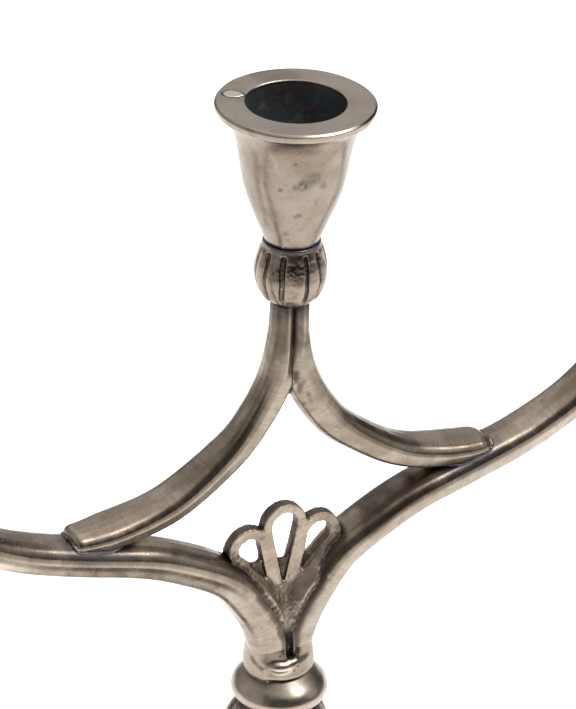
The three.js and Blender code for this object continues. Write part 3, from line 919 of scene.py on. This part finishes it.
def cup_profile(height, fineness):
    """The outside of the bell, the flange, and the bore with the screw hole, one after another."""
    under, floor = height - 2.3, height - 23
    bell = spline([(6.2, 0), (6.9, 1.8), (9.3, 7.8), (11.3, 13.8), (12.4, 19.8), (13.3, 24.8),
                   (14.6, 29), (15.9, under - 0.55), (17.2, under + 0.05)], 1.5 * fineness, easing=2)
    flange = outline((17.3, under + 0.08), (17.95, under + 0.45, 0.5), (18.1, height - 0.5, 0.12),
                     (17.6, height, 0.16), (11.5, height, 0.15), (11.25, height - 0.25, 0.15),
                     (11.25, height - 1), spacing=fineness)
    bore = spline([(11.25, height - 1.2), (11.25, floor + 17), (11, floor + 13), (10.1, floor + 6),
                   (8.2, floor + 0.5), (7.4, floor), (2.3, floor)], 1.5 * fineness)
    return bell, flange, np.vstack([bore, [(2.3, floor - 6), (2.3, 0), (4.2, 0)]])


CUP_STAINS = (  # right of the corner, height, radius, strength
    (2.3, 19.2, 2.2, 0.75), (4.6, 20.6, 2.6, 0.5), (0.6, 18.6, 1.3, 0.65), (6.5, 18.4, 1.5, 0.4),
    (-2.8, 17.6, 0.9, 0.6), (1.4, 10.8, 1.1, 0.6), (0.6, 10.2, 0.8, 0.55), (-1.2, 5.0, 1.0, 0.4),
    (0.4, 24.8, 0.6, 0.7), (2.6, 24.9, 0.5, 0.6), (6.2, 24.4, 0.6, 0.5), (-0.8, 3.2, 0.7, 0.4))


def cup_stain(points, bell):
    """Dark spots on the side of the bell that faces the corner."""
    spots = []
    for along, up, size, strength in CUP_STAINS:
        out = math.sqrt(np.interp(up, bell[:, 1], bell[:, 0]) ** 2 - along**2)
        spots.append(((*(bearing(0) * out + bearing(90) * along), up), size, strength))
    return near(points, spots)


def bore_glint(points, depth, groove, seed):
    """Painted highlights where light would catch the tool marks: at two places in the bore, and under the
    rim at the back.
    """
    turn = degrees_round(points)
    glint = smoothstep(np.abs((turn + 332) % 360 - 180), 24, 8) * smoothstep(depth, 15, 8)
    beside_it = 0.6 * smoothstep(np.abs(turn - 137), 14, 6) * smoothstep(np.abs(depth - 7), 4, 1)
    glint = np.maximum(glint, beside_it)
    glint *= smoothstep(groove, 0.2, 0.9) * smoothstep(unevenness(points, 3, seed), -0.7, 0.5)
    under_rim = 0.5 * smoothstep(depth, 5, 1.5) * smoothstep(turn, 178, 172) * (turn > 90)
    return np.maximum(glint, under_rim)


def build_cup(place, x, seed):
    foot, top = heights(f"{place}_cup")
    height = top - foot
    sides, fineness = (320, 0.25) if x == 0 else (176, 0.4)
    parts = cup_profile(height, fineness)
    shape = turned(np.vstack(parts), sides)
    part = np.repeat(range(3), [len(line) * sides for line in parts])
    on_bell, on_flange, in_bore = (part == i for i in range(3))
    points = shape[0]
    z, turn = points[:, 2], degrees_round(points)
    wall = in_bore & (z > height - 22.5)
    groove = np.sin(z * 2 * math.pi / 0.9 + 0.8 * unevenness(points, 9, seed + 2))
    tooled = wall * 0.055 * groove * smoothstep(unevenness(points, 8, seed + 3), -0.5, 0.8)
    amount = 0.04 * unevenness(points, 15, seed) + 0.008 * unevenness(points, 4, seed + 1) + tooled
    # Painted highlights on the bore's tool marks: they lighten the bore's dark oxide and brighten it like
    # polished metal.
    glint = wall * bore_glint(points, height - z, groove, seed + 5)
    scratch = wall * smoothstep(np.abs(turn - 173 - 2 * np.sin(z / 3)), 1.6, 0.4) * (z < height - 5)
    # Painted reflection: a dark band down the bell to the left of the corner, where the arm and leg are
    # mirrored in it.
    painted_reflection_streak = 0.2 * smoothstep(turn, -52, -40) * smoothstep(turn, -30, -40)
    painted_reflection_streak *= smoothstep(z, 3, 8) * smoothstep(z, 29, 25)
    # Painted shade under the flange, on the side of the bell that faces the corner.
    painted_shade_below_flange = 0.25 * smoothstep(z, 25.5, 28.5) * smoothstep(np.abs(turn), 36, 14)
    cloud = smoothstep(unevenness(points, 22, seed + 4) - 0.6 * np.sin(np.radians(turn)), 0.4, 1.5)
    tarnish = (on_bell * (painted_reflection_streak + painted_shade_below_flange + 0.7 * smoothstep(z, 1.4, 0))
               + 0.3 * cloud * on_flange + 0.7 * scratch)
    lip = on_flange & (z < height - 0.5) & (np.hypot(points[:, 0], points[:, 1]) < 11.4)
    bore = (in_bore | lip) * smoothstep(z, height - 0.1, height - 1.5) * (1 - 0.75 * glint)
    make(f"{place}_cup_turned", moved(displaced(shape, amount), x=x, z=foot), HEAD, [f"{place}_cup"],
         "cup_metal", CUP_METAL, bore=bore, polish=np.maximum(0.24 * on_flange, glint),
         stain=cup_stain(points, parts[0]) * on_bell, tarnish=np.clip(tarnish, 0, 1))


def patch_layer(grow, rise):
    """A leaf that lies on the flange, with its points on a radius and its edge rounded off."""
    out = bearing(-101)
    aside = np.array([-out[1], out[0]])
    share = np.linspace(0, 1, 40)
    half = 1.9 * np.sin(math.pi * share**1.25) ** 0.8 + 0.15 * np.sin(9 * share)
    along = 11.7 - grow + (4.9 + 2 * grow) * share
    width = np.maximum(half, 0.05) + grow
    middle = np.array([along.mean(), 0])
    rows = []
    for level, inset in ((-0.1, 0.0), (rise * 0.5, 0.0), (rise, 0.12), (rise, 0.6)):
        wide = np.maximum(width - inset * width / width.max(), 0.02)
        edge = np.vstack([np.column_stack([along, wide]), np.column_stack([along, -wide])[::-1]])
        edge = middle + (edge - middle) * (1 - inset / 3)
        flat = edge[:, :1] * out + edge[:, 1:] * aside
        rows.append(np.column_stack([flat, np.full(len(flat), level)]))
    points, columns = np.vstack(rows), len(rows[0])
    return end_capped(points, ring_faces(len(rows), columns), np.zeros((len(points), 3)), columns)


def build_patch():
    """An old repair on the centre cup's flange: a leaf-shaped plug of solder with a dark outline."""
    for name, grow, rise, material, dark in (("outline", 0.32, 0.035, SOLDER_METAL, 0.95),
                                             ("plug", 0.0, 0.12, PATCH_METAL, 0.0)):
        shape = moved(patch_layer(grow, rise), z=high("centre_cup").z)
        make(f"centre_cup_patch_{name}", shape, HEAD, [], "cup_metal", material,
             tarnish=np.full(len(shape[0]), dark), polish=np.full(len(shape[0]), 0.9 - 0.9 * dark))


def fluted(profile, sides, flutes, groove, lobe, depth_at, seed):
    """Spins a bead and sinks a groove at each angle in flutes, with pillowed lobes between them.
    Gives the shape, and how deep in a groove each point is."""
    flutes = np.radians(np.sort(flutes))
    draw = np.random.default_rng(seed)
    widths = groove * draw.uniform(0.75, 1.2, len(flutes) + 1)
    depths = draw.uniform(0.75, 1.1, len(flutes) + 1)
    sunk = []

    def radius_at(angle, radius, height):
        turn = np.mod(angle[0] - flutes[0], 2 * math.pi)
        starts = np.append(flutes - flutes[0], 2 * math.pi)
        index = np.clip(np.searchsorted(starts, turn, side="right") - 1, 0, len(flutes) - 1)
        share = (turn - starts[index]) / (starts[index + 1] - starts[index])
        pillow = 1 - np.abs(2 * share - 1) ** 2.4
        nearest = np.where(share < 0.5, index, (index + 1) % len(flutes))
        sway = 0.1 * np.sin(height * (0.7 + 0.1 * nearest) + nearest * 2.1)
        gap = np.where(share < 0.5, turn - starts[index], starts[index + 1] - turn)[None] * radius
        gap = gap + np.where(share < 0.5, sway, -sway)
        cut = smoothstep(gap, widths[nearest], 0.5 * widths[nearest]) * depths[nearest]
        depth = depth_at(height) * (radius > 4.4)
        sunk.append((cut * np.minimum(depth, 1)).ravel())
        return radius + lobe * depth * (pillow[None] - 0.7) - depth * cut

    return turned(profile, sides, radius_at), sunk[0]


FLUTES = (-74, -46, -14.5, 28.5, 56, 88, 120, 153, 186, 219, 252)  # degrees right of the corner
FLUTE_TOP = 14.2  # above this the bead is a plain band round the cup's foot


def build_knob(place, x, seed):
    foot, top = heights(f"{place}_knob")
    height = top - foot
    side = spline([(4.4, 0), (6.9, 2.1), (8.3, 6.3), (8.15, 9.6), (7.45, 12.3), (6.85, FLUTE_TOP)], 0.16)
    band = outline((6.78, FLUTE_TOP + 0.15), (6.7, height - 0.7), (6.62, height - 0.1, 0.25),
                   (6.3, height, 0.15), (4.6, height), spacing=0.14)
    profile = np.vstack([side, band, [(2.3, height), (2.3, 0), (4.0, 0)]])
    angles = [CORNER - 90 + angle for angle in FLUTES] if x == 0 else np.arange(11) * 360 / 11

    def depth_at(z):
        return 0.7 * smoothstep(z, 0.2, 3.2) * smoothstep(z, FLUTE_TOP, FLUTE_TOP - 0.7)

    shape, sunk = fluted(profile, 396, angles, 0.72, 0.45, depth_at, seed)
    points = shape[0]
    z = points[:, 2]
    worn = x == 0  # the centre knob has a rough, stained spot, and a scratch beside its second groove
    rough = worn * near(points, [(beside(9, 7.9, 10.5), 3.2, 1.0)])
    scratch = smoothstep(np.abs(degrees_round(points) + 10 - 0.15 * (z - 8)), 1.6, 0.5)
    scratch *= worn * smoothstep(z, 3, 6) * smoothstep(z, 13.8, 13)
    grain = unevenness(points, 1.0, seed + 2) + 0.7 * unevenness(points, 0.7, seed + 3)
    amount = (0.05 * unevenness(points, 6, seed) + 0.02 * unevenness(points, 1.6, seed + 1)
              + 0.035 * rough * grain + 0.03 * sunk * grain - 0.16 * scratch)
    shape = displaced(shape, amount)
    stain = near(points, [(beside(9, 7.9, 10.8), 2.9, 1.0), (beside(14, 8.2, 8.6), 2.2, 0.9),
                          (beside(-22, 7.9, 10.0), 2.0, 0.8)])
    band_tone = 0.22 * smoothstep(z, FLUTE_TOP - 0.1, FLUTE_TOP + 0.5)
    make(f"{place}_knob_fluted", moved(shape, x=x, z=foot), HEAD, [f"{place}_knob"], "knob_metal",
         KNOB_METAL, tarnish=np.clip(0.5 * sunk + band_tone + 0.3 * scratch, 0, 1), stain=stain * worn,
         bluing=np.maximum(smoothstep(z, height - 0.9, height - 0.3), 0.2 * sunk))


def build_screw(place, x):
    node_name = f"{place}_cup_screw"
    bottom, top = heights(node_name)
    radius = (high(node_name).x - low(node_name).x) / 2
    shank, thickness, slot = 2.0, 2.2, 0.45
    profile = outline((0.01, bottom), (shank - 0.4, bottom, 0.1), (shank, bottom + 0.5),
                      (shank, top - thickness), (radius - 0.1, top - thickness, 0.1),
                      (radius, top - 0.5, 0.3), (radius - 0.9, top, 0.5), (0.01, top + 0.1), spacing=0.3)
    points, faces, flow = turned(profile, 96, capped=True)
    points[(np.abs(points[:, 1]) < slot) & (points[:, 2] > top - 1), 2] -= 0.9
    make(f"{node_name}_slotted", moved((points, faces, flow), x=x), HEAD, [node_name],
         "steel_hardware", STEEL)


# ---------- stem and foot ----------

def build_ring(name, outside, hole, seed, right=0.0):
    """A turned ring. Its outside is a profile under the collar, and it may sit a little to the right."""
    profile = np.vstack([outside, [(hole, outside[-1][1]), (hole, outside[0][1])]])
    shape = uneven(turned(profile, 150), 9, 0.05, seed)
    push = bearing(90) * right
    z = shape[0][:, 2]
    radius = np.hypot(shape[0][:, 0], shape[0][:, 1])
    top, bottom = outside[:, 1].max(), outside[:, 1].min()
    tarnish = 0.4 * smoothstep(z, top - 2.2, top - 0.6) + 0.5 * smoothstep(z, bottom + 0.9, bottom)
    make(f"{name}_turned", moved(shape, x=push[0], y=push[1], z=LIFT), STEM, [name], "stem_metal",
         STEM_METAL, tarnish=np.clip(tarnish, 0, 1) * (radius > hole + 0.5), polish=np.full(len(z), 0.24))


def build_rings():
    ring = spline([(7.4, -0.4), (9.2, -1.9), (11, -3.7), (11.85, -5.6), (11.2, -7.6), (9.2, -9.1)], 0.3)
    build_ring("upper_ring", outline(ring), 5.3, 81, right=0.45)
    bottom, top = heights("lower_ring", LIFT)
    bead = spline([(7.4, top), (8.7, top - 0.7), (9.15, (bottom + top) / 2), (8.7, bottom + 0.7),
                   (7.4, bottom)], 0.25)
    build_ring("lower_ring", bead, 3.3, 82)


def build_knop():
    bottom, top = heights("stem_knop", LIFT)
    side = spline([(7.6, bottom), (11.8, -33.2), (13.8, -24), (12.2, -14.6), (8.8, top)], 0.3)
    profile = np.vstack([side, [(3.3, top), (3.3, bottom)]])
    middle, half = (top + bottom) / 2, (top - bottom) / 2

    def depth_at(z):
        return 1.15 * np.sqrt(np.clip(1 - ((z - middle) / half) ** 2, 0, 1))

    angles = CORNER - 96 + np.arange(14) * 360 / 14
    shape, sunk = fluted(profile, 420, angles, 1.25, 0.5, depth_at, 88)
    shape = displaced(shape, 0.06 * unevenness(shape[0], 8, 83) + 0.035 * unevenness(shape[0], 1.8, 84))
    ends = smoothstep(np.abs(shape[0][:, 2] - middle), half - 2.5, half)
    make("stem_knop_fluted", lifted(shape), STEM, ["stem_knop"], "knob_metal", KNOB_METAL,
         tarnish=np.clip(np.maximum(0.85 * sunk, 0.6 * ends), 0, 1))


def build_shaft():
    bottom, top = heights("stem_shaft")
    side = spline([(8.6, bottom), (6.6, bottom + 7), (5.4, bottom + 17), (6.4, top)], 0.35)
    shape = uneven(turned(np.vstack([side, [(3.3, top), (3.3, bottom)]]), 128), 10, 0.05, 85)
    z = shape[0][:, 2]
    ends = smoothstep(z, top - 2, top) + smoothstep(z, bottom + 2, bottom)
    make("stem_shaft_turned", shape, STEM, ["stem_shaft"], "stem_metal", STEM_METAL, tarnish=0.7 * ends)


def build_foot():
    """A domed foot with a stepped rim, hollow below, dark in its step and dull inside."""
    bottom, top = heights("foot")
    edge = high("foot").x
    rim = outline((edge - 0.8, bottom, 0.2), (edge, bottom + 0.8, 0.4), (edge, bottom + 3, 0.4),
                  (edge - 0.9, bottom + 4, 0.3), (edge - 3, bottom + 4.2, 0.3),
                  (edge - 3.8, bottom + 5.4, 0.4))
    dome = spline([(54.9, 7.2), (54.5, 8.4), (46, 11.4), (33, 15.2), (21, 20.6), (13.4, 28),
                   (9.6, top - 2.4)], 0.6)
    bead = outline((9.7, top - 2.3), (10.4, top - 1.6, 0.3), (10.4, top - 0.4, 0.3), (10, top, 0.2),
                   (3.3, top))
    seat = 21
    hollow = spline([(14.5, 17.6), (30, 12.6), (44, 8.8), (52, 5.2)], 1.5)
    profile = np.vstack([rim, dome, bead, [(3.3, seat), (8, seat), (12.5, seat)], hollow, [(53.5, bottom)]])
    shape = turned(profile, 320)
    shape = displaced(shape, 0.1 * unevenness(shape[0], 24, 86) + 0.03 * unevenness(shape[0], 6, 87))
    radius, z = np.hypot(shape[0][:, 0], shape[0][:, 1]), shape[0][:, 2]
    step = 0.8 * smoothstep(np.abs(radius - 55.3), 1.2, 0.2) * (z > bottom + 4)
    neck = 0.6 * smoothstep(z, top - 3, top - 1.8) * (z < top - 1.5)
    under = (z < np.interp(radius, [3, 12, 30, 44, 53], [22, 22, 14.5, 10.5, 6.5])) & (radius < 53.8)
    make("foot_cast", shape, STEM, ["foot"], "stem_metal", STEM_METAL, tarnish=np.clip(step + neck, 0, 1),
         stain=0.75 * under, polish=0.5 * (z > bottom + 5) * ~under)


def flat_ring(node_name, hole, edge, lower_fillet):
    """The profile of a flat ring as high as its CAD node."""
    bottom, top = heights(node_name)
    return outline((hole, bottom, 0.2), (edge, bottom, lower_fillet), (edge, top, 0.3),
                   (hole, top, 0.2), spacing=0.3, closed=True)


def build_hardware():
    pad = uneven(turned(flat_ring("felt_ring", 54.2, 58, 0.3), 360), 2.0, 0.05, 91)
    pad[0][:, 2] = np.maximum(pad[0][:, 2], low("felt_ring").z)
    make("felt_ring_pad", pad, STEM, ["felt_ring"], "green_felt", FELT)
    washer = turned(flat_ring("rod_washer", 3.3, 9, 0.2), 96)
    make("rod_washer_turned", washer, STEM, ["rod_washer"], "steel_hardware", STEEL)
    build_nut()
    build_rod()


def build_nut():
    """A hexagon whose corners are turned off at both faces."""
    bottom, top = heights("rod_nut")
    corner, hole = 5.8, 3.2
    profile = outline((hole, bottom, 0.3), (corner, bottom), (corner, top), (hole, top, 0.3),
                      spacing=0.25, closed=True)

    def radius_at(angle, radius, height):
        flat = np.mod(angle, math.pi / 3) - math.pi / 6
        hexagon = corner * math.cos(math.pi / 6) / np.cos(flat)
        chamfer = np.minimum(height - bottom, top - height) * 1.7 + corner * 0.9
        return np.where(radius > hole + 0.4, radius / corner * np.minimum(hexagon, chamfer), radius)

    make("rod_nut_hexagon", turned(profile, 192, radius_at), STEM, ["rod_nut"], "steel_hardware", STEEL)


def build_rod():
    """The tie rod, with a real helical thread on the part that shows under the foot."""
    bottom, top = heights("tie_rod")
    radius, pitch, threaded = 3.0, 1.0, 13.0
    profile = outline((0.01, bottom), (radius, bottom), (radius, bottom + threaded), (radius, top),
                      (0.01, top), spacing=0.125)
    plain = profile[:, 1] >= bottom + threaded
    keep = ~plain | (np.arange(len(profile)) % 16 == 0) | (profile[:, 1] == top)

    def radius_at(angle, current, height):
        phase = np.mod(height / pitch - angle / (2 * math.pi), 1)
        groove = 0.45 * (1 - np.abs(2 * phase - 1))
        groove *= smoothstep(height, bottom + threaded, bottom + threaded - 1)
        return current - np.where(current > radius - 0.3, groove, 0)

    make("tie_rod_threaded", turned(profile[keep], 64, radius_at, capped=True), STEM, ["tie_rod"],
         "steel_hardware", STEEL)


build_branch_head()
for seed, (place, x) in enumerate(LIGHTS.items()):
    build_cup(place, x, 100 + 10 * seed)
    build_knob(place, x, 140 + 10 * seed)
    build_screw(place, x)
build_patch()
build_rings()
build_knop()
build_shaft()
build_foot()
build_hardware()


# ---------- studio ----------

def build_floor():
    """A pale light table, which glows evenly round the piece and fades away from it."""
    mesh = bpy.data.meshes.new("floor")
    sides, reach = 96, 12
    turn = np.linspace(0, 2 * math.pi, sides, endpoint=False)
    edge = [(reach * math.cos(a), reach * math.sin(a), 0) for a in turn]
    mesh.from_pydata(edge, [], [list(range(sides))])
    floor = bpy.data.objects.new("floor", mesh)
    bpy.context.scene.collection.objects.link(floor)
    material, tree, shader = new_material("floor_paper")
    place = node(tree, "TexCoord").outputs["Object"]
    paper = noise(tree, place, 40, 3)
    away = node(tree, "VectorMath", {0: place, 1: (0.1, 0.45, 0)}, operation="DISTANCE").outputs["Value"]
    feed(tree, shader, {"Base Color": colour(0.9, 0.9, 0.89),
                        "Roughness": ramp(tree, paper, 0.3, 0.7, 0.88, 0.92),
                        "Emission Color": colour(1, 1, 1),
                        "Emission Strength": ramp(tree, away, 0.62, 0.95, 0.72, 0.03)})
    mesh.materials.append(material)


def build_sky(base, lamps):
    """Soft lamps far off, each (azimuth, elevation, half width, softness, strength), on a dim room."""
    world = bpy.data.worlds.new("studio")
    bpy.context.scene.world = world
    world.use_nodes = True
    tree = world.node_tree
    heading = node(tree, "TexCoord").outputs["Generated"]
    total = base
    for azimuth, elevation, half, softness, strength in lamps:
        a, e = math.radians(azimuth), math.radians(elevation)
        centre = (math.sin(a) * math.cos(e), -math.cos(a) * math.cos(e), math.sin(e))
        facing = node(tree, "VectorMath", {0: heading, 1: centre}, operation="DOT_PRODUCT").outputs["Value"]
        edge, full = math.cos(math.radians(half + softness)), math.cos(math.radians(half))
        total = plus(tree, ramp(tree, facing, edge, full, 0.0, strength), total)
    tree.links.new(total, tree.nodes["Background"].inputs["Color"])


def build_lamp(name, place, target, width, watts):
    data = bpy.data.lights.new(name, "AREA")
    data.shape = "SQUARE"
    data.size = width
    data.energy = watts
    lamp = bpy.data.objects.new(name, data)
    lamp.location = place
    lamp.rotation_euler = (Vector(target) - Vector(place)).to_track_quat("-Z", "Y").to_euler()
    lamp.visible_camera = False
    bpy.context.scene.collection.objects.link(lamp)


build_floor()
build_lamp("key", (0.46, -0.36, 1.20), (0.0, 0.0, 0.17), 0.7, 9)
build_sky(0.05, [
    (155, 33, 18, 22, 0.62),    # lit wall behind
    (-150, 30, 15, 20, 0.4),
    (62, 25, 10, 12, 0.5),      # window on the right
    (90, 82, 26, 22, 1.05),     # ceiling
    (-95, 15, 25, 20, 0.4),     # wall on the left
])
bpy.context.scene.view_settings.view_transform = "Standard"
